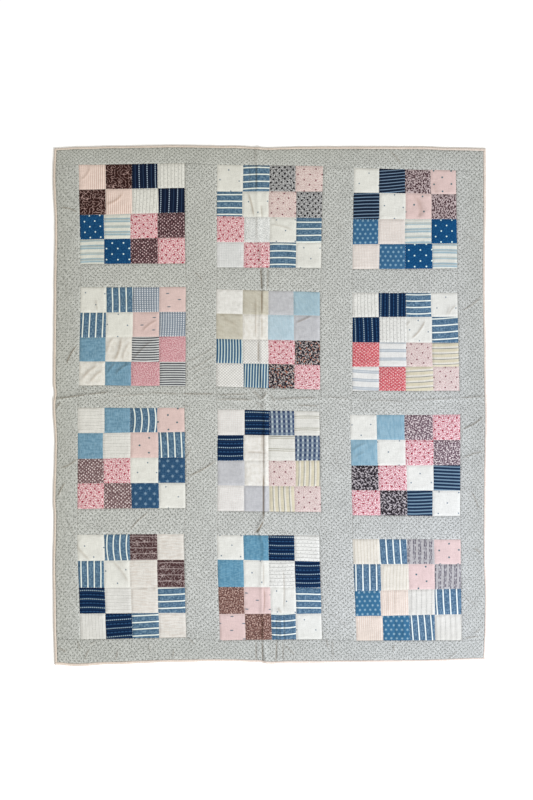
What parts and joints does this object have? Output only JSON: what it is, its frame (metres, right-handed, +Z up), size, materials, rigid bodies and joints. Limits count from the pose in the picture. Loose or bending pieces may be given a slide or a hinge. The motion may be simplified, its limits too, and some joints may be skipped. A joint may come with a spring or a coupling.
{
  "type": "patchwork quilt",
  "caption": "Pieced cotton quilt lying flat, with checkerboard patch blocks set in printed sashing and borders, a narrow bound edge, seam relief and storage creases.",
  "frame": {"origin": "Middle of the quilt's bounding box, on the surface it lies on", "axes": "+Z up through the cloth, +Y towards the top edge along the long side, +X to the right across it"},
  "size_m": [1.0847, 1.3008, 0.009],
  "materials": {
    "patchwork": "printed, striped and plain woven cotton patches, matt and washed",
    "sashing": "matt cotton with a small grey print",
    "border": "matt cotton with a small grey print",
    "binding": "narrow matt pink cotton, finely checked"
  },
  "bodies": {
    "root": {"block_r1c1": "patchwork", "block_r1c2": "patchwork", "block_r1c3": "patchwork", "block_r2c1": "patchwork", "block_r2c2": "patchwork", "block_r2c3": "patchwork", "block_r3c1": "patchwork", "block_r3c2": "patchwork", "block_r3c3": "patchwork", "block_r4c1": "patchwork", "block_r4c2": "patchwork", "block_r4c3": "patchwork", "sash_short_r1c1": "sashing", "sash_short_r1c2": "sashing", "sash_short_r1c3": "sashing", "sash_short_r2c1": "sashing", "sash_short_r2c2": "sashing", "sash_short_r2c3": "sashing", "sash_short_r3c1": "sashing", "sash_short_r3c2": "sashing", "sash_short_r3c3": "sashing", "sash_long_1": "sashing", "sash_long_2": "sashing", "border_top": "border", "border_bottom": "border", "border_left": "border", "border_right": "border", "binding_top": "binding", "binding_bottom": "binding", "binding_left": "binding", "binding_right": "binding"}
  },
  "joints": []
}
